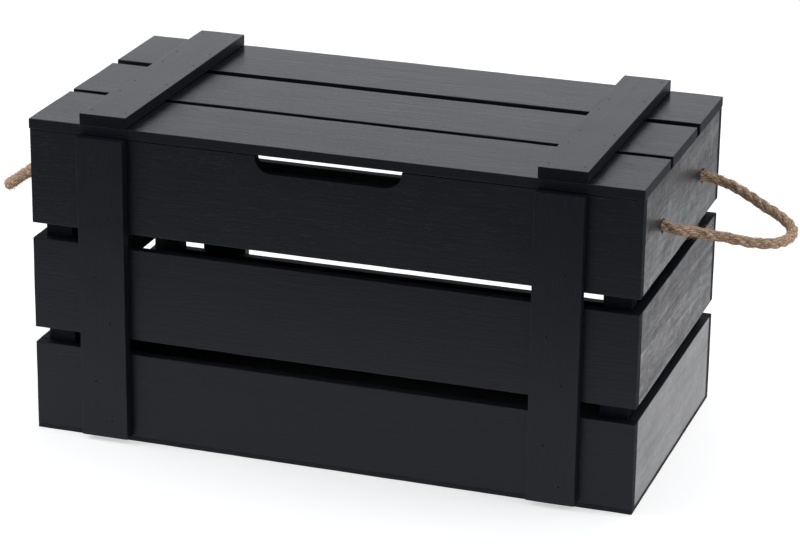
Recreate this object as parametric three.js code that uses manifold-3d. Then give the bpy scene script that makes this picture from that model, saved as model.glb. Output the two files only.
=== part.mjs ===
// A slatted wooden kindling box with a loose board lid and two rope handles.
// Millimetres, +Z up. The origin is on the floor, under the middle of the box.
// +X runs along the box to its right end, and the front faces -Y.

import * as THREE from 'three';
import { mergeVertices } from 'three/addons/utils/BufferGeometryUtils.js';
import Module from 'manifold-3d';

// ---------------------------------------------------------------- driving dimensions

// Body
const BODY_LENGTH = 597; // over the end boards
const BODY_DEPTH = 302; // over the front and back slats
const SLAT_THICK = 10; // front and back slats
const END_THICK = 10; // end boards, held between the front and back slats
const BOTTOM_ROW_HEIGHT = 85.5;
const MIDDLE_ROW_HEIGHT = 91.5;
const TOP_ROW_HEIGHT = 94;
const ROW_GAP = 15; // air gap between two rows of slats
const PANEL_THICK = 4.5; // plywood floor, fixed under the lowest row

// Corner posts
const POST_WIDTH = 27; // along X
const POST_DEPTH = 21; // along Y
const POST_DROP = 4; // the posts stop this far below the top of the slats

// Upright battens on the front and the back
const BATTEN_WIDTH = 47;
const BATTEN_THICK = 11;
const BATTEN_INSET = 52; // from the end of the box to the outer edge of a batten
const BACK_RIGHT_INSET = 64; // the right back batten stands further in

// Finger notch in the top front slat
const NOTCH_WIDTH = 143;
const NOTCH_DEPTH = 17;
const NOTCH_RADIUS = 16; // round lower corners

// Lid
const LID_BOARD_THICK = 10;
const LID_FRONT_GAP = 8; // between the front and the middle board
const LID_BACK_GAP = 12; // between the middle and the back board
const LID_END_OVERHANG = 0.5; // past each end of the body
const LID_EDGE_OVERHANG = 1; // past the front and back slats
const LID_BATTEN_THICK = 11;
const LID_BATTEN_WIDTH = 47;
const LID_BATTEN_INSET = 52; // from the end of the body, in line with the front battens

// Rope handles
const ROPE_RADIUS = 5;
const HOLE_CLEARANCE = 1.5; // from the rope to its hole, all round
const HANDLE_SPREAD = 154; // between the two holes of one handle
const HOLE_DROP = 47; // from the top of the end board down to the holes
const RIGHT_DROOP = 12; // degrees that each loop hangs below level
const LEFT_DROOP = 36;
const KNOT_TURN = 140; // degrees from one knot of a handle to the other

// Fits and finish
const EASE = 0.8; // chamfer on every board edge
const CLEAR = 0.3; // clearance between the rope and the wood that it bears on
const ROPE_SIDES = 10;
const HOLE_SIDES = 16;
const ARC_STEPS = 7;
const LOOP_STEPS = 30;
const KNOT_STEPS = 64;

// Route of a rope loop between its two holes: distance out from the swing line, and place
// along it. The rear leg bows out and the loop closes in a tight bend towards the front.
const LOOP_ROUTE = [
  [20, 76], [32, 71], [46, 62], [62, 50], [78, 39], [91, 27], [99, 12], [101, -6],
  [97, -24], [88, -39], [76, -48], [62, -54], [47, -59], [32, -65], [20, -70],
];

// Route of a rope end from the board's inner face: distance into the box, then the two
// directions across the rope. It is a tight overhand knot with a short tail.
const KNOT_ROUTE = [
  [9.2, -0.9, -0.6], [14.3, -3.2, -4.2], [18.6, -8.1, -6], [23.8, -11.8, -3.7],
  [28.5, -12.3, 1.1], [31.5, -9.2, 6.3], [31.7, -3.5, 10], [29.4, 2.9, 10.3],
  [25.3, 7.4, 7.5], [20.7, 8.6, 2.6], [16.5, 8.6, -2.8], [12, 7.6, -7.9],
  [7.7, 3.3, -10.8], [5.3, -3, -10.8], [5.3, -8.9, -7.4], [8, -12.2, -2.2],
  [12.7, -12, 2.7], [17.8, -8.4, 5.3], [22.2, -3.5, 3.8], [27.2, -1.1, 0],
  [33.9, 0, -0.7], [42, 0.4, -0.5],
];

// ---------------------------------------------------------------- derived places

const halfLength = BODY_LENGTH / 2;
const halfDepth = BODY_DEPTH / 2;
const innerLength = BODY_LENGTH - 2 * END_THICK;
const innerDepth = BODY_DEPTH - 2 * SLAT_THICK;

const rowTop = (row) => row.base + row.height;
const bottomRow = { name: 'bottom', base: PANEL_THICK, height: BOTTOM_ROW_HEIGHT };
const middleRow = { name: 'middle', base: rowTop(bottomRow) + ROW_GAP, height: MIDDLE_ROW_HEIGHT };
const topRow = { name: 'top', base: rowTop(middleRow) + ROW_GAP, height: TOP_ROW_HEIGHT };
const bodyTop = rowTop(topRow);

const lidLength = BODY_LENGTH + 2 * LID_END_OVERHANG;
const lidDepth = BODY_DEPTH + 2 * LID_EDGE_OVERHANG;
const lidBoardWidth = (lidDepth - LID_FRONT_GAP - LID_BACK_GAP) / 3;

const handleHoles = [-HANDLE_SPREAD / 2, HANDLE_SPREAD / 2];
const holeRadius = ROPE_RADIUS + HOLE_CLEARANCE;
const holeHeight = bodyTop - HOLE_DROP;
const holeFloor = holeHeight - holeRadius * Math.cos(Math.PI / HOLE_SIDES);
const ropeHeight = holeFloor + CLEAR + ROPE_RADIUS; // the rope lies in the bottom of its hole
const swingOffset = ROPE_RADIUS + 2 * CLEAR; // from the end board out to the swing line

// ---------------------------------------------------------------- materials

const paintedWood = { color: 0x1d1e21, roughness: 0.55, metalness: 0 };
const insideWood = { color: 0x26272a, roughness: 0.75, metalness: 0 };
const jute = { color: 0xb9976b, roughness: 0.95, metalness: 0 };

function addMesh(parent, name, geometry, look) {
  const mesh = new THREE.Mesh(geometry, new THREE.MeshStandardMaterial(look));
  mesh.name = name;
  parent.add(mesh);
  return mesh;
}

// ---------------------------------------------------------------- outlines

function rectangle(width, height) {
  return [[-width / 2, 0], [width / 2, 0], [width / 2, height], [-width / 2, height]];
}

function centred(outline, height) {
  return outline.map(([x, y]) => [x, y - height / 2]);
}

// A regular polygon that stands on one of its flats.
function polygon(x, y, radius, sides) {
  return Array.from({ length: sides }, (_, side) => {
    const angle = (side + 0.5) * 2 * Math.PI / sides - Math.PI / 2;
    return [x + radius * Math.cos(angle), y + radius * Math.sin(angle)];
  });
}

function arc(x, y, radius, from, to) {
  return Array.from({ length: ARC_STEPS + 1 }, (_, step) => {
    const angle = from + (to - from) * step / ARC_STEPS;
    return [x + radius * Math.cos(angle), y + radius * Math.sin(angle)];
  });
}

// The finger notch is cut down from the top edge, with straight sides and round lower corners.
function notchedRectangle(width, height) {
  const side = NOTCH_WIDTH / 2;
  const radius = Math.min(NOTCH_RADIUS, NOTCH_DEPTH - EASE, side);
  const centre = height - NOTCH_DEPTH + radius;
  return [
    [-width / 2, 0], [width / 2, 0], [width / 2, height], [side, height],
    ...arc(side - radius, centre, radius, 0, -Math.PI / 2),
    ...arc(-side + radius, centre, radius, -Math.PI / 2, -Math.PI),
    [-side, height], [-width / 2, height],
  ];
}

function toVectors(outline) {
  return outline.map(([x, y]) => new THREE.Vector2(x, y));
}

// ---------------------------------------------------------------- boards

// A board cut from its outline: local X and Y in the outline's plane, thickness from 0 up
// local Z, with every edge and every hole eased by a small chamfer.
function board(outline, thickness, holes = []) {
  const shape = new THREE.Shape(toVectors(outline));
  shape.holes = holes.map((hole) => new THREE.Path(toVectors(hole)));
  const geometry = new THREE.ExtrudeGeometry(shape, {
    depth: thickness - 2 * EASE,
    bevelThickness: EASE,
    bevelSize: EASE,
    bevelOffset: -EASE,
    bevelSegments: 1,
  });
  return geometry.translate(0, 0, EASE);
}

// The outline's plane turned upright: the face looks to -Y, or to +X.
const facingFront = new THREE.Matrix4().makeBasis(
  new THREE.Vector3(1, 0, 0), new THREE.Vector3(0, 0, 1), new THREE.Vector3(0, -1, 0));
const facingRight = new THREE.Matrix4().makeBasis(
  new THREE.Vector3(0, 1, 0), new THREE.Vector3(0, 0, 1), new THREE.Vector3(1, 0, 0));

// ---------------------------------------------------------------- body

const box = new THREE.Group();

function addSlat(side, row) {
  const isFront = side === 'front';
  const outline = isFront && row === topRow
    ? notchedRectangle(BODY_LENGTH, row.height)
    : rectangle(BODY_LENGTH, row.height);
  const geometry = board(outline, SLAT_THICK).applyMatrix4(facingFront);
  const mesh = addMesh(box, `${side}_slat_${row.name}`, geometry, paintedWood);
  mesh.position.set(0, isFront ? -innerDepth / 2 : halfDepth, row.base);
}

// The end boards stand between the front and back slats. The top one has the two rope holes.
function addEndBoard(side, row) {
  const holes = row === topRow
    ? handleHoles.map((y) => polygon(y, holeHeight - row.base, holeRadius, HOLE_SIDES))
    : [];
  const geometry = board(rectangle(innerDepth, row.height), END_THICK, holes).applyMatrix4(facingRight);
  const mesh = addMesh(box, `${side}_end_board_${row.name}`, geometry, paintedWood);
  mesh.position.set(side === 'right' ? innerLength / 2 : -halfLength, 0, row.base);
}

// A post stands in each inner corner and holds the slats and the end boards together.
function addPost(side, end) {
  const height = bodyTop - POST_DROP - PANEL_THICK;
  const geometry = board(rectangle(POST_WIDTH, height), POST_DEPTH).applyMatrix4(facingFront);
  const mesh = addMesh(box, `corner_post_${side}_${end}`, geometry, insideWood);
  const middle = innerLength / 2 - POST_WIDTH / 2;
  const face = side === 'front' ? -innerDepth / 2 + POST_DEPTH : innerDepth / 2;
  mesh.position.set(end === 'right' ? middle : -middle, face, PANEL_THICK);
}

// The battens run up over the slats, from their lower edge to the lid.
function addBatten(side, end, inset) {
  const geometry = board(rectangle(BATTEN_WIDTH, bodyTop - PANEL_THICK), BATTEN_THICK);
  const mesh = addMesh(box, `${side}_batten_${end}`, geometry.applyMatrix4(facingFront), paintedWood);
  const middle = halfLength - inset - BATTEN_WIDTH / 2;
  const face = side === 'front' ? -halfDepth : halfDepth + BATTEN_THICK;
  mesh.position.set(end === 'right' ? middle : -middle, face, PANEL_THICK);
}

for (const row of [bottomRow, middleRow, topRow]) {
  addSlat('front', row);
  addSlat('back', row);
  addEndBoard('left', row);
  addEndBoard('right', row);
}
for (const side of ['front', 'back']) {
  addPost(side, 'left');
  addPost(side, 'right');
  addBatten(side, 'left', BATTEN_INSET);
  addBatten(side, 'right', side === 'front' ? BATTEN_INSET : BACK_RIGHT_INSET);
}
const panelOutline = centred(rectangle(BODY_LENGTH, BODY_DEPTH), BODY_DEPTH);
addMesh(box, 'bottom_panel', board(panelOutline, PANEL_THICK), insideWood);

// ---------------------------------------------------------------- lid

// The lid lies loose on the slats: three boards, held together by two battens on top.
const lid = new THREE.Group();
lid.position.z = bodyTop;
box.add(lid);

function addLidBoard(name, middle) {
  const outline = centred(rectangle(lidLength, lidBoardWidth), lidBoardWidth);
  const mesh = addMesh(lid, `lid_board_${name}`, board(outline, LID_BOARD_THICK), paintedWood);
  mesh.position.y = middle;
}

function addLidBatten(end) {
  const outline = centred(rectangle(LID_BATTEN_WIDTH, lidDepth), lidDepth);
  const mesh = addMesh(lid, `lid_batten_${end}`, board(outline, LID_BATTEN_THICK), paintedWood);
  const middle = halfLength - LID_BATTEN_INSET - LID_BATTEN_WIDTH / 2;
  mesh.position.set(end === 'right' ? middle : -middle, 0, LID_BOARD_THICK);
}

const frontBoard = (lidBoardWidth - lidDepth) / 2;
addLidBoard('front', frontBoard);
addLidBoard('middle', frontBoard + lidBoardWidth + LID_FRONT_GAP);
addLidBoard('back', -frontBoard);
addLidBatten('left');
addLidBatten('right');

// ---------------------------------------------------------------- solid helpers

const wasm = await Module();
wasm.setup();

function toSolid(geometry) {
  const bare = geometry.clone();
  bare.deleteAttribute('normal');
  bare.deleteAttribute('uv');
  const merged = mergeVertices(bare, 1e-4);
  return new wasm.Manifold(new wasm.Mesh({
    numProp: 3,
    vertProperties: new Float32Array(merged.attributes.position.array),
    triVerts: new Uint32Array(merged.index.array),
  }));
}

function toGeometry(solid) {
  const mesh = solid.getMesh();
  const geometry = new THREE.BufferGeometry();
  geometry.setAttribute('position', new THREE.BufferAttribute(mesh.vertProperties, 3));
  geometry.setIndex(new THREE.BufferAttribute(mesh.triVerts, 1));
  geometry.computeVertexNormals();
  return geometry;
}

// ---------------------------------------------------------------- rope handles

// A rope swept along a smooth curve through the points of its route.
function ropeGeometry(route, steps) {
  const path = new THREE.CatmullRomCurve3(
    route.map((point) => new THREE.Vector3(...point)), false, 'centripetal');
  const section = new THREE.Shape(toVectors(polygon(0, 0, ROPE_RADIUS, ROPE_SIDES)));
  return new THREE.ExtrudeGeometry(section, { steps, extrudePath: path });
}

// The loop outside the box has ball ends, so that it turns in place on the swing line through
// both of its holes.
function loopGeometry(rear) {
  const start = HANDLE_SPREAD / 2;
  const lead = 2 * ROPE_RADIUS; // the rope leaves each hole straight
  const route = [[0, start], [lead, start], ...LOOP_ROUTE, [lead, -start], [0, -start]];
  const rope = ropeGeometry(route.map(([out, along]) => [out, along * rear, 0]), LOOP_STEPS);
  const ends = handleHoles.map(
    (y) => new THREE.SphereGeometry(ROPE_RADIUS, ROPE_SIDES, ROPE_SIDES / 2).translate(0, y, 0));
  return toGeometry(ends.reduce((solid, end) => solid.add(toSolid(end)), toSolid(rope)));
}

// One rope end goes straight through the end board. Its knot bears on the board's inner face.
function ropeEndGeometry() {
  const face = END_THICK + CLEAR;
  const straight = [[-CLEAR, 0, 0], [face / 2, 0, 0], [face, 0, 0]];
  const knot = KNOT_ROUTE.map(([into, across, over]) => [face + into, across, over]);
  return ropeGeometry([...straight, ...knot], KNOT_STEPS).rotateY(Math.PI);
}

// Each side's own frame has +X out of the box; the left one is turned round.
function addHandle(end, droop) {
  const isRight = end === 'right';
  const rear = isRight ? 1 : -1;
  const frame = new THREE.Group();
  frame.position.set(isRight ? halfLength : -halfLength, 0, ropeHeight);
  frame.rotation.z = isRight ? 0 : Math.PI;
  box.add(frame);
  const loop = addMesh(frame, `rope_handle_${end}`, loopGeometry(rear), jute);
  loop.position.x = swingOffset;
  loop.rotation.y = THREE.MathUtils.degToRad(droop);
  for (const y of handleHoles) {
    const place = y * rear > 0 ? 'back' : 'front';
    const knotted = addMesh(frame, `rope_end_${end}_${place}`, ropeEndGeometry(), jute);
    knotted.position.y = y;
    knotted.rotation.x = place === 'back' ? THREE.MathUtils.degToRad(KNOT_TURN) : 0;
  }
}

addHandle('right', RIGHT_DROOP);
addHandle('left', LEFT_DROOP);

export default box;
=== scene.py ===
# %% [markdown]
# # A black slatted kindling box with two rope handles
#
# The box is nailed together from thin sawn boards and stained black. Its shape is already
# there as solids. This lesson gives it what solids don't have: the grain, the saw marks and
# the worn gloss of stained wood, the dents of the brads, and two handles of twisted jute.

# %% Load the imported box
import math

import bpy
import numpy as np
from mathutils import Matrix, Vector


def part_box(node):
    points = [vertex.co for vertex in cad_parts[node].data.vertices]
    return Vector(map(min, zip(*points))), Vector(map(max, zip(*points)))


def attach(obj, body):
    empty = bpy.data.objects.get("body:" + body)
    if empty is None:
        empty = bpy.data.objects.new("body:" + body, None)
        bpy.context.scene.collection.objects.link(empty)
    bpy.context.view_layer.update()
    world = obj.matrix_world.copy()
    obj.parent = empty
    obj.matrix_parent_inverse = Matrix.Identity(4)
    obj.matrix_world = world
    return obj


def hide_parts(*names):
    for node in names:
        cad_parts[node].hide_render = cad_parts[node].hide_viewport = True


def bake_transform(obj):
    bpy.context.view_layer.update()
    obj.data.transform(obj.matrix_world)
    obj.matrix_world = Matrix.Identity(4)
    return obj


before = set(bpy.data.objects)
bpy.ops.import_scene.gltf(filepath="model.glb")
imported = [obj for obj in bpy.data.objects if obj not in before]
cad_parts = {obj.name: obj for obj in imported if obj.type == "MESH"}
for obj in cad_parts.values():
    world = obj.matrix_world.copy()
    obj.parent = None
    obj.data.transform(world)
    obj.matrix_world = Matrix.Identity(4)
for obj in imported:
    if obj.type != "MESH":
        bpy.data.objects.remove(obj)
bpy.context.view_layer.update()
print("pieces in the frame:", len(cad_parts))

# %% [markdown]
# ## The camera
#
# A camera can be placed by eye, or worked out from the box in the picture: the long edges,
# the end boards and the upright battens give three sets of parallel lines, and those give
# the distance and the lens. The worked-out way was taken, so every edge falls on its place.
# It is a long lens, three metres away, which is why the box shows so little perspective.

# %% Place the camera
CAMERA_AZIMUTH = math.radians(18.39)
CAMERA_ELEVATION = math.radians(20.34)
CAMERA_ROLL = math.radians(0.75)
CAMERA_DISTANCE = 3.002
CAMERA_TARGET = Vector((0.021, 0.0, 0.1486))
CAMERA_LENS_MM = 138.9

camera = bpy.data.objects.new("camera", bpy.data.cameras.new("camera"))
camera.data.lens = CAMERA_LENS_MM
turn = (
    Matrix.Rotation(CAMERA_AZIMUTH, 4, "Z")
    @ Matrix.Rotation(math.pi / 2 - CAMERA_ELEVATION, 4, "X")
    @ Matrix.Rotation(CAMERA_ROLL, 4, "Z")
)
back = (turn @ Vector((0, 0, 1, 0))).to_3d()
camera.matrix_world = Matrix.Translation(CAMERA_TARGET + CAMERA_DISTANCE * back) @ turn
bpy.context.scene.collection.objects.link(camera)
bpy.context.scene.camera = camera
print("camera at", [round(value, 3) for value in camera.matrix_world.translation])

# %% [markdown]
# ## The route of a handle
#
# Each handle is a length of 10 mm jute rope. It comes out of one hole, swings round in a
# loop and goes back in at the other hole, and a knot behind the board stops it at each end.
# Stiff new rope keeps its bend, so the loops stand out instead of hanging straight down.
# A physics chain would give a limp cord, so the route is a short list of given points and
# a smooth curve through them.

# %% Where the rope runs
ROPE_DIAMETER = 0.010
BOX_HALF_LENGTH = 0.2985
END_BOARD_THICK = 0.010
SWING_OFFSET = 0.0056  # from the end board out to the line on which a loop swings
ROPE_HEIGHT = 0.257425  # of the swing line, and of the rope in its holes
HANDLE_SPREAD = 0.154  # between the two holes of an end board
RIGHT_DROOP = math.radians(12)
LEFT_DROOP = math.radians(36)
ROPE_STEP = 0.0006  # from one ring of points to the next
CURVE_STEPS = 50  # between two points of a route, before the curve is cut into equal steps

# Distances of the straight part in the hole from the swing line, outward.
HOLE_ROUTE = (-0.0125, -0.006, 0.0, 0.010)

# Each point: distance out from the swing line, and place along it, towards the back.
LOOP_ROUTE = [
    (0.020, 0.076), (0.032, 0.071), (0.046, 0.062), (0.062, 0.050), (0.078, 0.039),
    (0.091, 0.027), (0.099, 0.012), (0.101, -0.006), (0.097, -0.024), (0.088, -0.039),
    (0.076, -0.048), (0.062, -0.054), (0.047, -0.059), (0.032, -0.065), (0.020, -0.070),
]


def smooth_line(points, spacing):
    """A centripetal Catmull-Rom curve through the points, cut into nearly equal steps.

    Between two points it is a cubic in t, from 0 to 1. Its velocity at each point is the
    difference quotient to its two neighbours, weighted by the square roots of their distances.
    """
    points = np.asarray(points, float)
    ends = np.vstack([2 * points[0] - points[1], points, 2 * points[-1] - points[-2]])
    root = np.sqrt(np.linalg.norm(np.diff(ends, axis=0), axis=1))[:, None]
    before, here, there, after = ends[:-3], ends[1:-2], ends[2:-1], ends[3:]
    r0, r1, r2 = root[:-2], root[1:-1], root[2:]
    leave = ((here - before) / r0 - (there - before) / (r0 + r1) + (there - here) / r1) * r1
    arrive = ((there - here) / r1 - (after - here) / (r1 + r2) + (after - there) / r2) * r1
    t = np.linspace(0, 1, CURVE_STEPS, endpoint=False)[None, :, None]
    here, there, leave, arrive = (a[:, None, :] for a in (here, there, leave, arrive))
    square = 3 * (there - here) - 2 * leave - arrive
    cube = 2 * (here - there) + leave + arrive
    fine = (here + leave * t + square * t**2 + cube * t**3).reshape(-1, 3)
    fine = np.vstack([fine, points[-1]])
    along = np.concatenate([[0], np.cumsum(np.linalg.norm(np.diff(fine, axis=0), axis=1))])
    places = np.linspace(0, along[-1], round(along[-1] / spacing) + 1)
    return np.stack([np.interp(places, along, fine[:, axis]) for axis in range(3)], axis=1)


def handle_line(side, droop):
    """The centreline of a loop from its back hole to its front one.

    side is 1 on the right and -1 on the left. Inside the board the rope is level, and
    outside it lies in a plane that falls away from the box by the angle droop.
    """
    hole = HANDLE_SPREAD / 2
    route = [(out, hole) for out in HOLE_ROUTE] + LOOP_ROUTE
    route += [(out, -hole) for out in reversed(HOLE_ROUTE)]
    out, along = np.array(route).T
    drooped = np.maximum(out, 0)
    level = np.minimum(out, 0)
    x = side * (BOX_HALF_LENGTH + SWING_OFFSET + level + drooped * math.cos(droop))
    z = ROPE_HEIGHT - drooped * math.sin(droop)
    return smooth_line(np.stack([x, along, z], axis=1), ROPE_STEP)


def length_of(line):
    """The length of a line of points."""
    return float(np.linalg.norm(np.diff(line, axis=0), axis=1).sum())


right_line = handle_line(1, RIGHT_DROOP)
left_line = handle_line(-1, LEFT_DROOP)
print(f"handle lengths: right {length_of(right_line):.3f} m, left {length_of(left_line):.3f} m")

# %% [markdown]
# ## Twisting the rope
#
# Jute rope is three strands laid round each other, and each strand is a bundle of yarns that
# turns the other way, so the yarns lie almost straight along the rope. Three separate tubes
# would cut through each other in the middle. Here the rope is one closed skin: the outline
# of three round strands, carried along the centreline and turned as it goes, with shallow
# ridges for the yarns.

# %% Frames along a line
UP = np.array([0.0, 0.0, 1.0])


def normalised(vectors):
    return vectors / np.linalg.norm(vectors, axis=-1, keepdims=True)


def frames_along(line):
    """Tangent, side and lift at each point of a line, without twist about it.

    The side starts level and square to the tangent. The little angles by which it turns
    about the tangent from point to point are summed and taken off again.
    """
    tangent = normalised(np.gradient(line, axis=0))
    side = normalised(np.cross(UP, tangent))
    lift = np.cross(tangent, side)
    step = np.arctan2((side[1:] * lift[:-1]).sum(1), (side[1:] * side[:-1]).sum(1))
    angle = -np.concatenate([[0], np.cumsum(step)])[:, None]
    turned = side * np.cos(angle) + lift * np.sin(angle)
    return tangent, turned, np.cross(tangent, turned)


# %% The skin of a laid rope
STRAND_RADIUS = 0.0033
STRAND_OFFSET = ROPE_DIAMETER / 2 - STRAND_RADIUS
LAY_LENGTH = 0.044  # the length in which a strand goes once round
COLUMNS_PER_STRAND = 26
YARNS_PER_STRAND = 9
YARN_RELIEF = 0.00026  # from the bottom of a groove to the top of a yarn
YARN_SINK = 0.6  # the share of it that lies below the strand's round outline
YARN_SLANT = 1.55  # how much faster the yarns turn back than the strands go round
STRAND_PHASE = 2.1  # by which the yarns of one strand are turned against the next one's
STRAND_SHIFT = 0.1  # metres between the strands on the map, so that no pattern repeats
SWELL = 0.06  # how much thicker and thinner a strand grows along the rope
SWELL_LENGTH = 0.019
BRISTLE = 0.00018  # random height of each point, shared a little with the next rings


def strand_outline():
    """Radius and angle of one strand's share of the outline, and the angle about its own centre.

    Seen from the rope's centre, a circle of radius a whose centre is at distance h has the
    radius h cos d + sqrt(a^2 - h^2 sin^2 d) at the angle d from that centre.
    """
    angle = np.linspace(-math.pi / 3, math.pi / 3, COLUMNS_PER_STRAND + 1)
    reach = STRAND_OFFSET * np.cos(angle) + np.sqrt(
        STRAND_RADIUS**2 - (STRAND_OFFSET * np.sin(angle)) ** 2
    )
    own = np.arctan2(reach * np.sin(angle), reach * np.cos(angle) - STRAND_OFFSET)
    return reach, angle, own


def uneven(along, seed, wave):
    """A smooth random number between about -1 and 1 at each place: three sines added."""
    random = np.random.default_rng(seed)
    parts = [
        np.sin(2 * math.pi * along / (wave * factor) + random.uniform(0, 6.28))
        for factor in (1.0, 0.61, 0.37)
    ]
    return (parts[0] + 0.7 * parts[1] + 0.5 * parts[2]) / 2.2


def rope_skin(line, seed, twist):
    """Points of the rope's surface in rows across it, with the numbers that its material needs.

    Returns the points (rows, columns, 3), the crest value (1 on a strand, 0 in a groove), and
    for each column of faces the map places of its left and right edges.
    """
    _, side, lift = frames_along(line)
    along = np.arange(len(line)) * length_of(line) / (len(line) - 1)
    reach, angle, own = strand_outline()
    lay = 2 * math.pi * along / LAY_LENGTH + twist
    slant = own[None, :] + YARN_SLANT * lay[:, None]
    bulge = np.cos(angle * 1.5)[None, :]
    random = np.random.default_rng(seed)
    points, crest, left, right = [], [], [], []
    for strand in range(3):
        hairy = random.normal(size=(len(line), len(angle)))
        hairy = (hairy + 2 * np.roll(hairy, 1, axis=0) + np.roll(hairy, 2, axis=0)) / 2.4
        phase = YARNS_PER_STRAND * slant + STRAND_PHASE * strand
        ridge = YARN_RELIEF * (np.sqrt(np.abs(np.cos(phase / 2))) - YARN_SINK)
        swell = 1 + SWELL * uneven(along, seed + strand, SWELL_LENGTH)[:, None]
        relief = (ridge + BRISTLE * hairy) * np.sqrt(np.clip(bulge, 0, 1))
        radius = reach[None, :] * swell + relief
        turned = (angle[None, :] + lay[:, None] + 2 * math.pi * strand / 3)[..., None]
        ring = side[:, None, :] * np.cos(turned) + lift[:, None, :] * np.sin(turned)
        points.append((line[:, None, :] + radius[..., None] * ring)[:, :-1])
        crest.append(np.broadcast_to(bulge, radius.shape)[:, :-1])
        across = STRAND_RADIUS * slant + STRAND_SHIFT * strand
        chart = np.stack([np.broadcast_to(along[:, None], across.shape), across], axis=-1)
        left.append(chart[:, :-1])
        right.append(chart[:, 1:])
    return tuple(np.concatenate(parts, axis=1) for parts in (points, crest, left, right))


# %% Grids into meshes
def grid_faces(rows, columns):
    """Quads of a tube of rows by columns points, joined round its columns."""
    row, column = np.meshgrid(np.arange(rows - 1), np.arange(columns), indexing="ij")
    here = row * columns + column
    beside = row * columns + (column + 1) % columns
    return np.stack([here, beside, beside + columns, here + columns], axis=-1).reshape(-1, 4)


def new_piece(name, points, faces):
    """An object at the origin from an array of points and a list of faces."""
    mesh = bpy.data.meshes.new(name)
    mesh.from_pydata(points.reshape(-1, 3).tolist(), [], [list(face) for face in faces])
    mesh.update()
    piece = bpy.data.objects.new(name, mesh)
    bpy.context.scene.collection.objects.link(piece)
    return piece


def smooth_shaded(piece):
    """Shades the faces as one smooth surface."""
    piece.data.polygons.foreach_set("use_smooth", np.ones(len(piece.data.polygons), bool))
    return piece


def stored(piece, name, values):
    """Stores one number per point for the materials."""
    layer = piece.data.attributes.new(name, "FLOAT", "POINT")
    layer.data.foreach_set("value", np.asarray(values, np.float32).ravel())


def rope_piece(name, line, seed, twist=0.0):
    """A closed rope with a map along its yarns and the crest value at each point."""
    points, crest, left, right = rope_skin(line, seed, twist)
    rows, columns = crest.shape
    faces = grid_faces(rows, columns)
    start = np.arange(columns)[::-1]
    finish = (rows - 1) * columns + np.arange(columns)
    piece = smooth_shaded(new_piece(name, points, [*faces, start, finish]))
    corners = np.stack([left[:-1], right[:-1], right[1:], left[1:]], axis=2).reshape(-1, 2)
    ends = np.concatenate([left[0][::-1], left[-1]])
    chart = piece.data.uv_layers.new(name="yarns")
    chart.data.foreach_set("uv", np.concatenate([corners, ends]).astype(np.float32).ravel())
    stored(piece, "crest", np.clip(crest, 0, 1))
    return piece


right_rope = rope_piece("rope_loop_right", right_line, seed=11)
left_rope = rope_piece("rope_loop_left", left_line, seed=23, twist=0.9)
print("faces in a loop:", len(right_rope.data.polygons))

# %% [markdown]
# ## Loose fibres
#
# Jute is never clean: short fibres stand off the rope all round, and a few long ones curl
# away from it. Blender's hair would do, but it leaves no mesh behind. Each fibre here is a
# thin three-sided tube along a parabola, and all fibres of a loop are one array.

# %% Fibres on a rope
FIBRE_RADIUS = 0.00010
FIBRE_STEPS = 9
FIBRE_ROOT = 0.43 * ROPE_DIAMETER  # from the centreline, just under the skin
# Shares of its direction: along the rope, away from it and at random.
FIBRE_LEAN = (0.9, 0.8, 0.45)
FIBRE_SAG = 0.3  # share of its bend that goes down, and as much along the rope
FIBRE_CURL = 0.45  # how far a fibre bends aside, as a share of its length
BARE_STEPS = 30  # of the line at each end, where no fibre grows
SHORTEST_FIBRE = 0.0020
LONGEST_ON_LOOP = 0.009
LONGEST_ON_KNOT = 0.006
LONG_HAIRS = 5  # so many fibres of each piece are longer still
LONG_HAIR_FACTOR = 1.8
FIBRES_PER_LOOP = 1900
FIBRES_PER_KNOT = 240


def fibres(name, line, count, seed, longest):
    """Thin tubes that leave the skin along start + t direction + t^2 bend, t from 0 to 1."""
    random = np.random.default_rng(seed)
    tangent, side, lift = frames_along(line)
    place = random.integers(BARE_STEPS, len(line) - BARE_STEPS, count)
    angle = random.uniform(0, 2 * math.pi, count)[:, None]
    outward = side[place] * np.cos(angle) + lift[place] * np.sin(angle)
    start = line[place] + FIBRE_ROOT * outward
    length = (SHORTEST_FIBRE + (longest - SHORTEST_FIBRE) * random.random(count) ** 3)[:, None]
    length[:LONG_HAIRS] = LONG_HAIR_FACTOR * longest
    sense = random.choice([-1.0, 1.0], count)[:, None]
    jitter = random.normal(size=(count, 3))
    follow, leave, stray = FIBRE_LEAN
    direction = follow * sense * tangent[place] + leave * outward + stray * jitter
    direction = normalised(direction)
    bend = random.normal(size=(count, 3)) - FIBRE_SAG * UP + FIBRE_SAG * tangent[place]
    bend = normalised(bend)
    t = np.linspace(0, 1, FIBRE_STEPS)[None, :, None]
    curve = t * direction[:, None] + FIBRE_CURL * t**2 * bend[:, None]
    middle = start[:, None] + length[:, None] * curve
    across = normalised(np.cross(direction, bend))[:, None]
    upright = normalised(np.cross(direction, across[:, 0]))[:, None]
    radius = FIBRE_RADIUS * (1.15 - 0.8 * t)
    around = np.linspace(0, 2 * math.pi, 3, endpoint=False)
    rings = [middle + radius * (math.cos(a) * across + math.sin(a) * upright) for a in around]
    points = np.stack(rings, axis=2)
    first = np.arange(count)[:, None, None] * FIBRE_STEPS * 3
    walls = (grid_faces(FIBRE_STEPS, 3)[None] + first).reshape(-1, 4)
    roots = (np.array([2, 1, 0])[None] + first[:, 0]).reshape(-1, 3)
    tips = ((FIBRE_STEPS - 1) * 3 + np.arange(3)[None] + first[:, 0]).reshape(-1, 3)
    return new_piece(name, points, [*walls, *roots, *tips])


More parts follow.
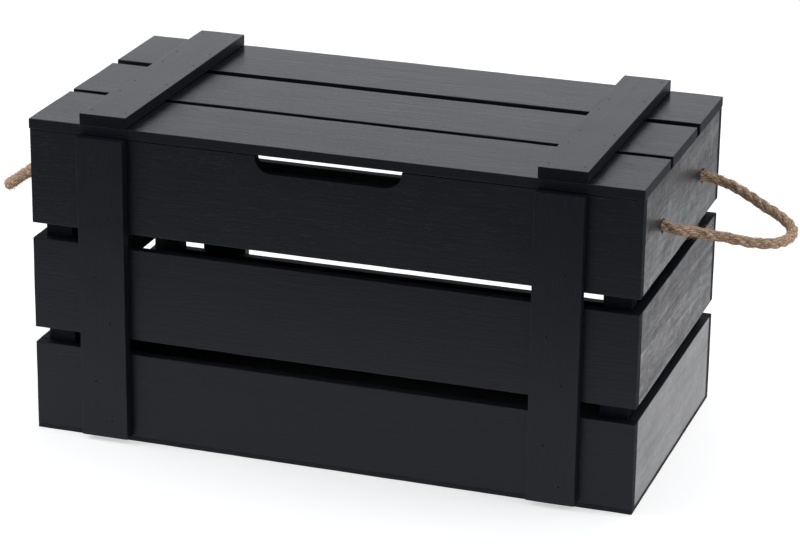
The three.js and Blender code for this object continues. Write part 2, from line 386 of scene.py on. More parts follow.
right_fibres = fibres("rope_fibres_right", right_line, FIBRES_PER_LOOP, 5, LONGEST_ON_LOOP)
left_fibres = fibres("rope_fibres_left", left_line, FIBRES_PER_LOOP, 6, LONGEST_ON_LOOP)
print("fibres on each loop:", FIBRES_PER_LOOP)


def declare_handle(rope, loose, node):
    """Bakes the placing of the rope and of its fibres into their meshes, and hides the imported
    handle.
    """
    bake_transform(rope)
    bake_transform(loose)
    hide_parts(node)


declare_handle(right_rope, right_fibres, "rope_handle_right")
declare_handle(left_rope, left_fibres, "rope_handle_left")

# %% [markdown]
# ## The knots behind the boards
#
# An overhand knot in each end keeps the rope from being pulled out through its hole. It
# can't be drawn freely, because the rope would cut through itself. The points of the route
# come from a small calculation outside this lesson: a loosely knotted line is pulled tight
# while no two parts of it may come nearer than the rope is thick.

# %% Tie the knots
# Each point: distance into the box from the board's inner face, then two directions across.
KNOT_ROUTE = [
    (-0.0060, 0.0, 0.0), (-0.0020, 0.0, 0.0), (0.0003, 0.0, 0.0),
    (0.0095, -0.0009, -0.0006), (0.0146, -0.0032, -0.0042), (0.0189, -0.0081, -0.0060),
    (0.0241, -0.0118, -0.0037), (0.0288, -0.0123, 0.0011), (0.0318, -0.0092, 0.0063),
    (0.0320, -0.0035, 0.0100), (0.0297, 0.0029, 0.0103), (0.0256, 0.0074, 0.0075),
    (0.0210, 0.0086, 0.0026), (0.0168, 0.0086, -0.0028), (0.0123, 0.0076, -0.0079),
    (0.0080, 0.0033, -0.0108), (0.0056, -0.0030, -0.0108), (0.0056, -0.0089, -0.0074),
    (0.0083, -0.0122, -0.0022), (0.0130, -0.0120, 0.0027), (0.0181, -0.0084, 0.0053),
    (0.0225, -0.0035, 0.0038), (0.0275, -0.0011, 0.0), (0.0342, 0.0, -0.0007),
    (0.0420, 0.0004, -0.0005),
]
KNOT_TURN = math.radians(140)  # of the back knots against the front ones
KNOT_STEP = 0.0009  # from one ring of points to the next


def knot_line(side, hole, turn):
    """The centreline of one knotted end; turn rolls it about the axis of its hole."""
    into, across, over = np.array(KNOT_ROUTE).T
    rolled = across * math.cos(turn) - over * math.sin(turn)
    lifted = across * math.sin(turn) + over * math.cos(turn)
    x = side * (BOX_HALF_LENGTH - END_BOARD_THICK - into)
    route = np.stack([x, hole + side * rolled, ROPE_HEIGHT + lifted], axis=1)
    return smooth_line(route, KNOT_STEP)


knots = []
for side, end in ((1, "right"), (-1, "left")):
    for along, place in ((1, "back"), (-1, "front")):
        hole = along * HANDLE_SPREAD / 2
        line = knot_line(side, hole, KNOT_TURN if place == "back" else 0.0)
        seed = 40 + len(knots)
        which = f"{end}_{place}"
        knot = rope_piece(f"rope_knot_{which}", line, seed, twist=0.7 * len(knots))
        hairs = fibres(f"knot_fibres_{which}", line, FIBRES_PER_KNOT, seed, LONGEST_ON_KNOT)
        for piece in (knot, hairs):
            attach(piece, "box")
        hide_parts(f"rope_end_{end}_{place}")
        knots.append((knot, hairs))
print("knots tied:", len(knots))

# %% [markdown]
# ## Boards with worn edges
#
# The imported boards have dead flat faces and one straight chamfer. Sawn boards are a little
# hollow, and their edges are rubbed round, more in some places than in others. A bevel
# modifier would round every edge alike. Here each board is drawn again as the skin of a
# lattice. Its lines crowd at the edges and at the brads, so that the skin can bend there.

# %% The skin of a board
LATTICE_STEP = 0.006
RIPPLE_WAVES = 7
EDGE_RADIUS = 0.0008
EDGE_LINES = EDGE_RADIUS * np.array([0.0, 0.25, 0.6, 1.0, 1.25, 1.8])
EDGE_CHANGE = 0.45  # how much the radius changes along an edge
EDGE_WAVE = 0.03  # the length over which it changes
LEAST_RADIUS = 0.0004
MOST_RADIUS = 0.3  # as a share of the board's thickness
HOLLOW = 0.00012  # mean depth of the hollow in a face
HOLLOW_WAVE = 0.07
PIT_RADIUS = 0.0009
PIT_LINES = PIT_RADIUS * np.array(
    [-1.5, -1.1, -0.95, -0.8, -0.5, 0.0, 0.5, 0.8, 0.95, 1.1, 1.5]
)
PIT_DEPTH = 0.0008
PIT_POWER = 0.35  # the smaller it is, the steeper are a pit's sides
CROOK = 0.0008  # how far the top edge of a wall sinks between its ends
CROOK_POWER = 0.3
CROOK_ZONE = 0.33  # the upper share of the board that moves with its edge


def lattice_lines(low, high, extra):
    """Places of the lattice lines along one axis: even steps, crowded where the skin bends."""
    even = np.linspace(low, high, max(2, round((high - low) / LATTICE_STEP)) + 1)
    around = (np.asarray(extra, float).reshape(-1, 1) + PIT_LINES).ravel()
    places = np.concatenate([low + EDGE_LINES, high - EDGE_LINES, even, around])
    places = np.unique(np.round(places, 6))
    return places[(places >= low - 1e-9) & (places <= high + 1e-9)]


def lattice_skin(lines):
    """Points and quads of the skin of a lattice, given the places of its lines on each axis.

    A point is numbered by its three line numbers, so neighbouring sides share their edge.
    """
    shape = tuple(len(line) for line in lines)
    quads = []
    for axis in range(3):
        first, second = (axis + 1) % 3, (axis + 2) % 3
        steps = np.arange(shape[first] - 1), np.arange(shape[second] - 1)
        u, v = np.meshgrid(*steps, indexing="ij")
        for layer in (0, shape[axis] - 1):
            corners = []
            for right, up in ((0, 0), (1, 0), (1, 1), (0, 1)):
                number = [None, None, None]
                number[axis] = np.full_like(u, layer)
                number[first] = u + right
                number[second] = v + up
                corners.append(np.ravel_multi_index(number, shape).ravel())
            quads.append(np.stack(corners if layer else corners[::-1], axis=1))
    used, quads = np.unique(np.concatenate(quads), return_inverse=True)
    numbers = np.unravel_index(used, shape)
    points = np.stack([line[number] for line, number in zip(lines, numbers)], axis=1)
    return points, quads.reshape(-1, 4)


def ripple(points, seed, size):
    """A smooth random field between about -1 and 1: plane waves of about the given size."""
    random = np.random.default_rng(seed)
    waves = random.normal(size=(3, RIPPLE_WAVES)) * 2 * math.pi / size * 0.45
    phases = random.uniform(0, 2 * math.pi, RIPPLE_WAVES)
    return np.sin(points @ waves + phases).sum(axis=1) / (RIPPLE_WAVES / 2)


def soft_edged(points, low, high, seed):
    """Rounds the lattice's edges by a radius that changes along them, and hollows its sides.

    Every point is measured from the core, the box that is smaller by the radius all round.
    The new point lies at one radius from the core in the same direction. Returns the points,
    their directions from the core, and a number that is 1 on an edge and 0 on a face.
    """
    radius = EDGE_RADIUS * (1.0 + EDGE_CHANGE * ripple(points, seed, EDGE_WAVE))
    radius = np.clip(radius, LEAST_RADIUS, MOST_RADIUS * (high - low).min())[:, None]
    core = np.clip(points, low + radius, high - radius)
    outward = normalised(points - core)
    edge = (1 - np.abs(outward).max(axis=1)) / (1 - math.sqrt(0.5))
    hollow = HOLLOW * (1 + ripple(points, seed + 1, HOLLOW_WAVE)) * (1 - edge)
    return core + (radius - np.clip(hollow, 0, None)[:, None]) * outward, outward, edge


def with_pits(points, outward, pits):
    """Presses brad holes into the skin: a steep round pit at each given point and direction."""
    pressed = np.zeros(len(points))
    for place, direction in pits:
        offset = points - place
        aside = offset - np.outer(offset @ direction, direction)
        facing = outward @ direction > 0.9  # only the face that the brad was driven into
        inside = 1 - (np.linalg.norm(aside, axis=1) / PIT_RADIUS) ** 2
        amount = np.where(facing, np.clip(inside, 0, 1), 0) ** PIT_POWER
        pressed = np.maximum(pressed, amount)
        points = points - PIT_DEPTH * amount[:, None] * direction
    return points, pressed


def crooked(points, low, high):
    """Lets the top edge of a wall sink a little between its ends, so that a thin dark gap shows.

    With s from 0 to 1 along the board, the edge sinks by CROOK times (4 s (1 - s)) to the
    power CROOK_POWER. The drop fades out over the upper third of the board.
    """
    along = int(np.argmax(high - low))
    s = np.clip((points[:, along] - low[along]) / (high - low)[along], 0, 1)
    sag = CROOK * (4 * s * (1 - s)) ** CROOK_POWER
    share = np.clip((points[:, 2] - high[2]) / (CROOK_ZONE * (high - low)[2]) + 1, 0, 1)
    return points - np.outer(sag * share, UP)


def sawn_faces(outward, low, high):
    """1 on the ends of a board, 0.7 on its narrow sides and 0 on its planed faces."""
    thickness = int(np.argmin(high - low))
    length = int(np.argmax(high - low))
    cut = np.clip((0.7 - np.abs(outward[:, thickness])) / 0.4, 0, 1)
    return cut * (0.7 + 0.3 * np.abs(outward[:, length]))


def extent(name):
    """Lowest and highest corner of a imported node."""
    low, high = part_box(name)
    return np.array(low), np.array(high)


# %% Where the brads are
ROWS = ("bottom", "middle", "top")
FRONTWARD = np.array([0.0, -1.0, 0.0])
BACKWARD = np.array([0.0, 1.0, 0.0])
BRAD_ASIDE = 0.008  # the two brads of a crossing stand this far left and right of the middle
BRAD_BELOW_TOP = 0.028
BRAD_ABOVE_BOTTOM = 0.018
LID_BRAD_ASIDE = 0.0170
LID_BRAD_INSET = 0.0135  # from the long edges of a lid board
LID_BRAD_STRAY = 0.003  # nobody nails in a straight row


def batten_brads(name):
    """Two brads hold each slat to a batten, the upper one to the left and the lower one right."""
    side = name.split("_")[0]
    low, high = extent(name)
    middle = (low[0] + high[0]) / 2
    direction = FRONTWARD if side == "front" else BACKWARD
    face = low[1] if side == "front" else high[1]
    brads = []
    for row in ROWS:
        bottom, top = (corner[2] for corner in extent(f"{side}_slat_{row}"))
        upper = np.array([middle - BRAD_ASIDE, face, top - BRAD_BELOW_TOP])
        lower = np.array([middle + BRAD_ASIDE, face, bottom + BRAD_ABOVE_BOTTOM])
        brads += [(upper, direction), (lower, direction)]
    return brads


def lid_brads(name):
    """Four brads hold each lid board to a lid batten, one at each corner of the crossing."""
    low, high = extent(name)
    middle = (low[0] + high[0]) / 2
    random = np.random.default_rng(len(name))  # so left and right differ
    brads = []
    for board in ("front", "middle", "back"):
        front, back = (corner[1] for corner in extent(f"lid_board_{board}"))
        for y in (front + LID_BRAD_INSET, back - LID_BRAD_INSET):
            for aside in (-LID_BRAD_ASIDE, LID_BRAD_ASIDE):
                stray = random.uniform(-LID_BRAD_STRAY, LID_BRAD_STRAY)
                brads.append((np.array([middle + aside, y + stray, high[2]]), UP))
    return brads


# %% The notch and the rope holes
NOTCH_HALF = 0.0715
NOTCH_RADIUS = 0.016
NOTCH_DEPTH = 0.017
NOTCH_ZONE = 0.040  # only this much of the slat below its top edge is squeezed
NOTCH_END_GAP = 0.00005  # an upright end of the notch lies between two lines this close
NOTCH_LINES = 9  # on each round corner
HOLE_RADIUS = 0.0065
HOLE_EASE = 0.0011  # width of the eased rim
HOLE_HEIGHT = 0.2585  # above the rope's middle, since the rope lies low in the hole
CUTTER_REACH = 0.002  # how far a cutter stands out of the board
CUTTER_SIDES = 40


def notch_lines():
    """Lattice lines that follow the round corners and the short upright ends of the notch."""
    angle = np.linspace(0, math.pi / 2, NOTCH_LINES)
    corner = NOTCH_HALF - NOTCH_RADIUS + NOTCH_RADIUS * np.sin(angle)
    places = np.concatenate([corner, [NOTCH_HALF + NOTCH_END_GAP, NOTCH_HALF + 0.0006]])
    return np.concatenate([-places, places])


def with_notch(points, top):
    """Presses the top edge down to the outline of the finger notch.

    In a corner of radius r, at the distance d from its centre line, the notch has come up
    by r - sqrt(r^2 - d^2) from its floor. Lower down the points move less and less.
    """
    corner = np.clip(np.abs(points[:, 0]) - NOTCH_HALF + NOTCH_RADIUS, 0, NOTCH_RADIUS)
    rise = NOTCH_RADIUS - np.sqrt(NOTCH_RADIUS**2 - corner**2)
    inside = np.abs(points[:, 0]) < NOTCH_HALF + NOTCH_END_GAP / 2
    drop = np.where(inside, NOTCH_DEPTH - rise, 0)
    share = np.clip((points[:, 2] - top + NOTCH_ZONE) / NOTCH_ZONE, 0, 1)
    return points - np.outer(drop * share, UP)


def spindle(side, hole):
    """A turned cutter for one rope hole, wider at both ends so that the rims come out eased."""
    outer = BOX_HALF_LENGTH
    inner = outer - END_BOARD_THICK
    x = np.array([
        inner - CUTTER_REACH, inner, inner + HOLE_EASE,
        outer - HOLE_EASE, outer, outer + CUTTER_REACH,
    ])
    wide = HOLE_RADIUS + HOLE_EASE
    radius = np.array([wide, wide, HOLE_RADIUS, HOLE_RADIUS, wide, wide])
    angle = np.linspace(0, 2 * math.pi, CUTTER_SIDES, endpoint=False)[None, :]
    rings = np.stack([
        np.broadcast_to(side * x[:, None], (len(x), angle.size)),
        hole + side * radius[:, None] * np.cos(angle),
        HOLE_HEIGHT + radius[:, None] * np.sin(angle),
    ], axis=-1)
    faces = grid_faces(len(x), angle.size)
    caps = [np.arange(angle.size)[::-1], (len(x) - 1) * angle.size + np.arange(angle.size)]
    return new_piece("cutter", rings, [*faces, *caps])


def cut_holes(piece, side):
    """Cuts the two rope holes and throws the cutters away."""
    for hole in (-HANDLE_SPREAD / 2, HANDLE_SPREAD / 2):
        cutter = spindle(side, hole)
        cut = piece.modifiers.new("hole", "BOOLEAN")
        cut.operation = "DIFFERENCE"
        cut.solver = "EXACT"
        cut.object = cutter
        done = piece.evaluated_get(bpy.context.evaluated_depsgraph_get())
        piece.data = bpy.data.meshes.new_from_object(done)
        piece.modifiers.clear()
        bpy.data.objects.remove(cutter)


# %% Draw every board again
def redraw(name, body, seed):
    """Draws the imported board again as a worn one, which takes its place on the same body."""
    low, high = extent(name)
    pits = []
    if "lid_batten" in name:
        pits = lid_brads(name)
    elif "batten" in name:
        pits = batten_brads(name)
    extra = [[place[axis] for place, _ in pits] for axis in range(3)]
    lines = [lattice_lines(low[axis], high[axis], extra[axis]) for axis in range(3)]
    if name == "front_slat_top":
        lines[0] = np.unique(np.concatenate([lines[0], notch_lines()]))
        lines[2] = np.unique(np.concatenate([lines[2], [high[2] - NOTCH_ZONE]]))
    points, quads = lattice_skin(lines)
    points, outward, edge = soft_edged(points, low, high, seed)
    points, pressed = with_pits(points, outward, pits)
    if name == "front_slat_top":
        points = with_notch(points, high[2])
    if name.endswith("_top"):
        points = crooked(points, low, high)
    piece = smooth_shaded(new_piece(f"board_{name}", points, quads))
    stored(piece, "edge", edge)
    stored(piece, "sawn", sawn_faces(outward, low, high))
    stored(piece, "pit", pressed)
    if name in ("left_end_board_top", "right_end_board_top"):
        cut_holes(piece, 1 if high[0] > 0 else -1)
    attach(piece, body)
    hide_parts(name)
    return piece


boards = {}
for name in sorted(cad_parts):
    if not name.startswith("rope"):
        body = "lid" if name.startswith("lid") else "box"
        boards[name] = redraw(name, body, seed=100 + 3 * len(boards))
face_count = sum(len(board.data.polygons) for board in boards.values())
print("boards:", len(boards), "faces:", face_count)

# %% [markdown]
# ## Shader maths as plain expressions
#
# A material is a graph of nodes, and sums in it are many small Math nodes. Dragging them is
# slow to read back. A small class that stands for one output socket lets the sums be written
# as ordinary Python, and one method adds every other kind of node.

# %% A socket that can be added and multiplied
class Value:
    """One output socket. Arithmetic on it adds Math nodes to its material."""

    def __init__(self, shader, socket):
        self.shader = shader
        self.socket = socket

    def __add__(self, other):
        return self.shader.math("ADD", self, other)

    def __sub__(self, other):
        return self.shader.math("SUBTRACT", self, other)

    def __rsub__(self, other):
        return self.shader.math("SUBTRACT", other, self)

    def __mul__(self, other):
        return self.shader.math("MULTIPLY", self, other)

    def __truediv__(self, other):
        return self.shader.math("DIVIDE", self, other)

    def __pow__(self, other):
        return self.shader.math("POWER", self, other)

    __radd__ = __add__
    __rmul__ = __mul__


class Shader:
    """The nodes of a material, or of the world, written as a list."""

    def __init__(self, owner):
        owner.use_nodes = True
        self.owner = owner
        self.tree = owner.node_tree
        self.tree.nodes.clear()

    def add(self, kind, settings=None, sockets=None, output=0):
        """Adds a node: its settings first, then the values or links of its sockets."""
        node = self.tree.nodes.new(kind)
        for name, value in (settings or {}).items():
            setattr(node, name, value)
        for name, value in (sockets or {}).items():
            if isinstance(value, Value):
                self.tree.links.new(value.socket, node.inputs[name])
            else:
                node.inputs[name].default_value = value
        return Value(self, node.outputs[output])

    def math(self, operation, *values):
        """One Math node."""
        return self.add("ShaderNodeMath", {"operation": operation}, dict(enumerate(values)))

    def surface(self, shader_value):
        """Links the finished shader to an output node and returns the material or world."""
        is_world = isinstance(self.owner, bpy.types.World)
        kind = "ShaderNodeOutputWorld" if is_world else "ShaderNodeOutputMaterial"
        output = self.tree.nodes.new(kind)
        self.tree.links.new(shader_value.socket, output.inputs["Surface"])
        return self.owner


def new_shader(name):
    """The empty shader of a new material."""
    return Shader(bpy.data.materials.new(name))


# %% Patterns that the materials share
MILLIMETRE = 1000.0  # object coordinates are in metres


def stretched(shader, place, sizes):
    """The place divided by a pattern size, in millimetres, for each axis."""
    factors = tuple(MILLIMETRE / size for size in sizes)
    settings = {"operation": "MULTIPLY"}
    return shader.add("ShaderNodeVectorMath", settings, {0: place, 1: factors})


def noise(shader, place, sizes, detail=2.0, roughness=0.5):
    """Smooth noise between 0 and 1 whose blobs have the given sizes in millimetres."""
    sockets = {
        "Vector": stretched(shader, place, sizes),
        "Scale": 1.0,
        "Detail": detail,
        "Roughness": roughness,
    }
    return shader.add("ShaderNodeTexNoise", None, sockets)


def spread(shader, value, low, high, start=0.0, end=1.0):
    """Maps low..high to start..end along a smooth step."""
    settings = {"interpolation_type": "SMOOTHSTEP"}
    sockets = {"Value": value, "From Min": low, "From Max": high, "To Min": start, "To Max": end}
    return shader.add("ShaderNodeMapRange", settings, sockets)


def mix_colours(shader, factor, first, second):
    """The first colour at factor 0 and the second one at 1. A Mix node numbers them 6 and 7."""
    sockets = {"Factor": factor, 6: first, 7: second}
    return shader.add("ShaderNodeMix", {"data_type": "RGBA"}, sockets, output=2)


def object_place(shader):
    """The place in the piece's own coordinates, in metres."""
    return shader.add("ShaderNodeTexCoord", output=3)


def coordinate(shader, place, axis):
    """One coordinate of a place: 0, 1 or 2 for X, Y or Z."""
    return shader.add("ShaderNodeSeparateXYZ", None, {0: place}, output=axis)


def stored_number(shader, name):
    """The number that the mesh holds under this name at each point."""
    return shader.add("ShaderNodeAttribute", {"attribute_name": name}, output=2)


def bumped(shader, height, metres):
    """A surface direction from a height, of which 1 stands for so many metres."""
    sockets = {"Strength": 1.0, "Distance": metres, "Height": height}
    return shader.add("ShaderNodeBump", None, sockets)


# %% [markdown]
# ## Black stained wood
#
# The boards are thin softwood, stained black and not varnished. A coat of paint would hide
# the wood. Stain doesn't: it is nearly black from the front, and at a low angle its worn
# fibres and saw marks show as grey streaks. So the colour hardly changes, and the grain is
# in the bump and in the roughness, which is where the eye finds it on the real one.

# %% The stain
STAIN = (0.0042, 0.0050, 0.0078, 1.0)
WORN_STAIN = (0.0170, 0.0175, 0.0200, 1.0)
DUST = (0.30, 0.30, 0.30, 1.0)  # bare wood and dust in a scratch
COOL = (0.90, 0.94, 1.0, 1.0)
CUT_LOSS = 0.62  # open fibres of a cut swallow this share of the reflection
CUT_SOAK = 0.8  # a cut soaks up stain, so that it shows this much less wear
FLECK_WEAR = 0.7
EDGE_WEAR = 1.3
SAW_WEAR = 0.4
CUT_DULL = 0.42  # what a cut, an edge and a pit add to the roughness
EDGE_DULL = 0.25
PIT_DULL = 0.4
PORE_DEPTH = 0.12
SAW_PITCH = 4.3  # millimetres from one stroke of the saw to the next
SAW_BOW = 130.0  # millimetres by which the strokes bow
SAW_WAVE = 0.35  # the share of the strokes beside the marks of single teeth
SCRATCH_SLOPE = 0.03
SCRATCH_WANDER = 0.003
SCRATCH_EDGE = (0.0001, 0.0006)  # from a scratch's middle, where it begins to fade and ends
SCRATCH_TONE = 0.35
GRAIN_TURNS = {
    "X": (0.0, 0.0, 0.0),
    "Y": (0.0, 0.0, math.pi / 2),
    "Z": (0.0, math.pi / 2, 0.0),
}


def stained_wood(name, grain, shift, gloss, fibre, figure, sawn=0.0, mottle=0.05, scratches=(),
                 shine=0.25, wear=1.0):
    """Stained softwood whose grain runs along the axis named by grain.

    shift moves the pattern, so that no two boards are alike. gloss is the least roughness.
    fibre, figure and sawn are the heights, in millimetres, of the fine fibres, of the flecks
    and bands of the grain, and of the saw marks. mottle is how much the gloss changes with
    the bands, and shine how much light the stain mirrors. scratches gives the heights, in
    metres, of long scratches along Y, and wear is how much stain is rubbed off the flecks.
    """
    shader = new_shader(name)
    spot = object_place(shader)
    sockets = {"Vector": spot, "Location": shift, "Rotation": GRAIN_TURNS[grain]}
    place = shader.add("ShaderNodeMapping", {"vector_type": "POINT"}, sockets)
    edge, rough_cut, pit = (stored_number(shader, kind) for kind in ("edge", "sawn", "pit"))

    fine = noise(shader, place, (45.0, 1.4, 1.4), detail=3.0, roughness=0.6)
    flecks = noise(shader, place, (15.0, 3.6, 3.6), detail=3.0, roughness=0.65)
    bands = noise(shader, place, (240.0, 10.0, 10.0), detail=2.0)
    blotch = noise(shader, place, (75.0, 38.0, 38.0), detail=3.0, roughness=0.6)
    pores = spread(shader, noise(shader, place, (7.0, 1.6, 1.6), detail=1.0), 0.66, 0.76)

    height = fine * fibre + (flecks + bands) * figure - pores * PORE_DEPTH
    worn = spread(shader, flecks, 0.46, 0.74) * spread(shader, blotch, 0.36, 0.66)
    chips = spread(shader, noise(shader, place, (6.0, 3.0, 3.0), detail=2.0), 0.48, 0.68)
    worn = worn * (FLECK_WEAR * wear) + EDGE_WEAR * edge * chips
    if sawn > 0:
        bowed = noise(shader, place, (260.0, 190.0, 190.0), detail=0.0) * SAW_BOW
        along = coordinate(shader, place, 0) * MILLIMETRE
        teeth = noise(shader, place, (3.2, 45.0, 45.0), detail=2.0, roughness=0.6)
        wave = shader.math("PINGPONG", (along + bowed) / SAW_PITCH, 0.5) * 2.0
        patch = spread(shader, noise(shader, place, (60.0, 45.0, 45.0)), 0.4, 0.62)
        saw = (wave * SAW_WAVE + teeth) * patch
        height = height + saw * sawn
        worn = worn + saw * patch * SAW_WEAR

    worn = worn * (1.0 - CUT_SOAK * rough_cut * rough_cut)
    colour = mix_colours(shader, shader.math("MINIMUM", worn, 1.0), STAIN, WORN_STAIN)
    for scratch in scratches:
        y, z = (coordinate(shader, spot, axis) for axis in (1, 2))
        wander = SCRATCH_WANDER * (noise(shader, place, (160.0, 40.0, 40.0), detail=0.0) - 0.5)
        away = shader.math("ABSOLUTE", z + SCRATCH_SLOPE * y + wander - scratch)
        line = 1.0 - spread(shader, away, *SCRATCH_EDGE)
        broken = spread(shader, noise(shader, place, (40.0, 12.0, 12.0), detail=2.0), 0.35, 0.65)
        colour = mix_colours(shader, line * broken * SCRATCH_TONE, colour, DUST)
    dull = CUT_DULL * rough_cut + EDGE_DULL * edge + PIT_DULL * pit
    rough = gloss + 0.12 * blotch + 0.10 * fine + mottle * (bands + flecks - 1.0) + dull
    sockets = {
        "Base Color": colour,
        "Roughness": rough,
        "Normal": bumped(shader, height, 0.001),
        "Specular IOR Level": shine * (1.0 - CUT_LOSS * rough_cut),
        "Specular Tint": COOL,
    }
    return shader.surface(shader.add("ShaderNodeBsdfPrincipled", None, sockets))


# %% Give every board its wood
FACE = {"gloss": 0.26, "fibre": 0.15, "figure": 0.15, "shine": 0.147, "wear": 0.35}
LID = {"gloss": 0.12, "fibre": 0.12, "figure": 0.16, "shine": 0.20}
END = {"gloss": 0.30, "fibre": 0.15, "figure": 0.22, "sawn": 1.10, "mottle": 0.28, "shine": 0.18}
BOARDS = [
    # first words of the node's name, grain axis, and how the face was worked
    ("front_slat", "X", FACE),
    ("back_slat", "X", {**FACE, "sawn": 0.10}),
    ("front_batten", "Z", FACE),
    ("back_batten", "Z", FACE),
    ("corner_post", "Z", {**FACE, "gloss": 0.40, "sawn": 0.10, "shine": 0.05}),
    ("bottom_panel", "X", {**FACE, "gloss": 0.35, "shine": 0.35}),
    ("lid_board", "X", LID),
    ("lid_batten", "Y", LID),
    ("left_end_board", "Y", END),
    ("right_end_board_top", "Y", END),
    ("right_end_board_middle", "Y", {**END, "figure": 0.40, "sawn": 0.35, "mottle": 0.36,
                                     "scratches": (0.158, 0.149), "shine": 0.085}),
    ("right_end_board_bottom", "Y", {**END, "figure": 0.30, "sawn": 0.15, "mottle": 0.15,
                                     "shine": 0.32}),
]


def paint(piece, material):
    """Gives the piece this one material."""
    piece.data.materials.clear()
    piece.data.materials.append(material)


board_count = 0
for start, grain, working in BOARDS:
    for name in sorted(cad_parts):
        if name.startswith(start):
            board_count += 1
            shift = (0.37 * board_count, 0.113 * board_count, 0.071 * board_count)
            paint(boards[name], stained_wood(f"stain_{name}", grain, shift, **working))
print("stained boards:", board_count)

# %% [markdown]
# ## Jute
#
# The rope is matt and its colour changes from yarn to yarn, from pale straw to brown. The
# pattern has to run along the yarns, so it reads the rope's own map and not its place in the
# room. Shade is painted into the grooves between the strands: they are darker, by the crest
# value stored in the mesh.

# %% The jute
STRAW = (0.92, 0.690, 0.520, 1.0)
RUSSET = (0.50, 0.260, 0.150, 1.0)
SAGE = (0.34, 0.280, 0.185, 1.0)
# painted shade: this dark brown is also laid into the grooves between the strands
HUSK_AND_GROOVE_SHADE = (0.11, 0.055, 0.032, 1.0)  # of dark flecks, and of the grooves


def jute():
    """Brown to grey-green yarns with pale and dark flecks along them, and painted shade in the
    grooves.
    """
    shader = new_shader("jute")
    chart = shader.add("ShaderNodeUVMap", {"uv_map": "yarns"})
    crest = stored_number(shader, "crest")
    pale = noise(shader, chart, (6.0, 0.90, 1.0), detail=3.0, roughness=0.75)
    dark = noise(shader, chart, (4.0, 1.30, 1.0), detail=2.0, roughness=0.7)
    yarn = noise(shader, chart, (24.0, 2.6, 1.0), detail=1.0)
    colour = mix_colours(shader, spread(shader, yarn, 0.38, 0.62), RUSSET, SAGE)
    colour = mix_colours(shader, spread(shader, pale, 0.47, 0.57), colour, STRAW)
    colour = mix_colours(shader, spread(shader, dark, 0.54, 0.64, 0.0, 0.85), colour, HUSK_AND_GROOVE_SHADE)
    # painted shade: where the crest value is low, in the grooves between the strands, the colour
    # is darkened
    ridge = spread(shader, crest + (dark - 0.5) * 0.9, -0.05, 0.30, 0.25, 1.0)
    colour = mix_colours(shader, ridge, HUSK_AND_GROOVE_SHADE, colour)
    sockets = {
        "Base Color": colour,
        "Roughness": 0.92,
        "Normal": bumped(shader, pale, 0.0014),
        "Specular IOR Level": 0.2,
    }
    return shader.surface(shader.add("ShaderNodeBsdfPrincipled", None, sockets))


def loose_fibre():
    """Brown and straw-coloured, without a map of its own."""
    shader = new_shader("loose_fibre")
    place = object_place(shader)
    tone = spread(shader, noise(shader, place, (3.0, 3.0, 3.0)), 0.35, 0.65)
    colour = mix_colours(shader, tone, RUSSET, STRAW)
    sockets = {"Base Color": colour, "Roughness": 0.9, "Specular IOR Level": 0.2}
    return shader.surface(shader.add("ShaderNodeBsdfPrincipled", None, sockets))


jute_material = jute()
fibre_material = loose_fibre()
for rope in (right_rope, left_rope):
    paint(rope, jute_material)
for loose in (right_fibres, left_fibres):
    paint(loose, fibre_material)
for knot, hairs in knots:
    paint(knot, jute_material)
    paint(hairs, fibre_material)

# %% [markdown]
# ## Floor and light
#
# The box stands on a plain pale floor in a white room. Where the floor is mirrored, a painted
# pool of light lies close around the box and fades towards the front. The black boards get
# nearly all of their brightness from what they mirror at a low angle: the lid and the end
# boards show the bright room behind the box, and the front, seen head on, stays almost black.
# One large soft lamp above and behind gives the lid its lighter tone. Two smaller ones stand
# at the sides, for the end boards and the ropes.

# %% The floor
FLOOR_HALF = 8.0
FLOOR_GREY = (0.80, 0.80, 0.80, 1.0)
FLOOR_WHITE = 0.55  # what is added to the paper where it is seen, also in a mirroring surface
# painted light: in mirroring surfaces the floor's white fades towards the front, and a painted
# pool of light lies close around the box
FRONT_FALL = (0.35, 0.80)  # metres in front of the origin between which its mirror image fades
PAINTED_POOL_WHITE = 0.90  # what is added in mirroring surfaces close around the box
PAINTED_POOL_FALL = (0.20, 0.72)  # metres from the box between which that fades
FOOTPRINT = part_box("bottom_panel")[1]  # a corner: half the length and half the depth


def ray_kinds(shader):
    """1 or 0 for rays straight from the camera, from a mirroring surface and through glass."""
    names = ("Is Camera Ray", "Is Glossy Ray", "Is Transmission Ray")
    return [shader.add("ShaderNodeLightPath", output=name) for name in names]


def pale_floor():
    """Paper that is shaded as usual, and whiter where it is looked at.

    In a mirroring surface the added white is painted light: a painted pool of light, strongest
    close around the box, and a painted fall-off towards the front. The distance to the box is
    that to its rectangular footprint.
    """
    shader = new_shader("pale_floor")
    place = object_place(shader)
    x, y = (coordinate(shader, place, axis) for axis in range(2))
    painted_front_light = spread(shader, y, -FRONT_FALL[1], -FRONT_FALL[0])
    aside, before = (
        shader.math("MAXIMUM", shader.math("ABSOLUTE", axis) - half, 0.0)
        for axis, half in zip((x, y), FOOTPRINT)
    )
    painted_pool = spread(shader, (aside * aside + before * before) ** 0.5, *PAINTED_POOL_FALL, 1.0, 0.0)
    camera_ray, glossy, through = ray_kinds(shader)
    seen = FLOOR_WHITE * (camera_ray + through)
    # painted light: the mirrored floor is whiter close around the box and darker towards the
    # front
    mirrored = (FLOOR_WHITE * painted_front_light + PAINTED_POOL_WHITE * painted_pool) * glossy
    paper = shader.add("ShaderNodeBsdfDiffuse", None, {"Color": FLOOR_GREY})
    white = shader.add("ShaderNodeEmission", None, {"Strength": seen + mirrored})
    return shader.surface(shader.add("ShaderNodeAddShader", None, {0: paper, 1: white}))


corner = FLOOR_HALF * np.array([[-1, -1, 0], [1, -1, 0], [1, 1, 0], [-1, 1, 0]], float)
floor = new_piece("floor", corner, [[0, 1, 2, 3]])
paint(floor, pale_floor())

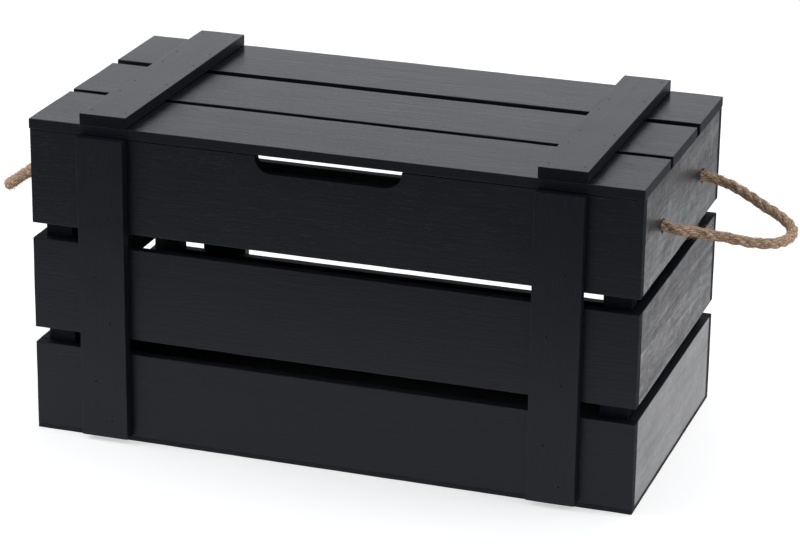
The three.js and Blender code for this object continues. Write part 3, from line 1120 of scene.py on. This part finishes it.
# %% The room and the lamps
ROOM_LIGHT = 0.35
DAYLIGHT = (0.93, 0.96, 1.0, 1.0)
FLAG_DARK = 0.85  # how much the dark board takes away
# Along X, Y and Z of the direction looked in: where the dark board begins and is full.
FLAG_EDGES = ((0.05, 0.2), (0.2, 0.5), (0.02, 0.12))


def white_room():
    """White where it is looked at, softer where it only lights the box, and dark on one side.

    A dark board stands behind the box on its right. It keeps the sides of the lid's battens
    black, as a photographer's flag does.
    """
    room = Shader(bpy.data.worlds.new("white_room"))
    direction = room.add("ShaderNodeTexCoord")
    flag = 1.0
    for axis, edge in enumerate(FLAG_EDGES):
        flag = flag * spread(room, coordinate(room, direction, axis), *edge)
    camera_ray, glossy, through = ray_kinds(room)
    looked_at = room.math("MINIMUM", camera_ray + glossy + through, 1.0)
    strength = ROOM_LIGHT + (1.0 - ROOM_LIGHT) * looked_at
    strength = strength * (1.0 - FLAG_DARK * flag)
    sockets = {"Color": DAYLIGHT, "Strength": strength}
    return room.surface(room.add("ShaderNodeBackground", None, sockets))


bpy.context.scene.world = white_room()


def soft_lamp(name, place, aim, size, watts):
    """A rectangular lamp that faces the point it is aimed at and isn't seen itself."""
    lamp = bpy.data.lights.new(name, "AREA")
    lamp.shape = "RECTANGLE"
    lamp.size, lamp.size_y = size
    lamp.energy = watts
    piece = bpy.data.objects.new(name, lamp)
    piece.location = place
    direction = Vector(aim) - Vector(place)
    piece.rotation_euler = direction.to_track_quat("-Z", "Y").to_euler()
    piece.visible_camera = False
    bpy.context.scene.collection.objects.link(piece)


LAMPS = [
    # name, place, aim, size, watts
    ("lamp_above", (0.3, 0.9, 2.2), (0, 0, 0.2), (2.2, 1.6), 20),
    ("lamp_right", (2.2, 0.2, 1.2), (0, 0, 0.2), (1.4, 1.4), 19),
    ("lamp_left", (-1.1, -0.4, 0.8), (-0.35, -0.25, 0.0), (0.7, 0.7), 6),
]
for lamp_settings in LAMPS:
    soft_lamp(*lamp_settings)

bpy.context.scene.view_settings.view_transform = "Standard"
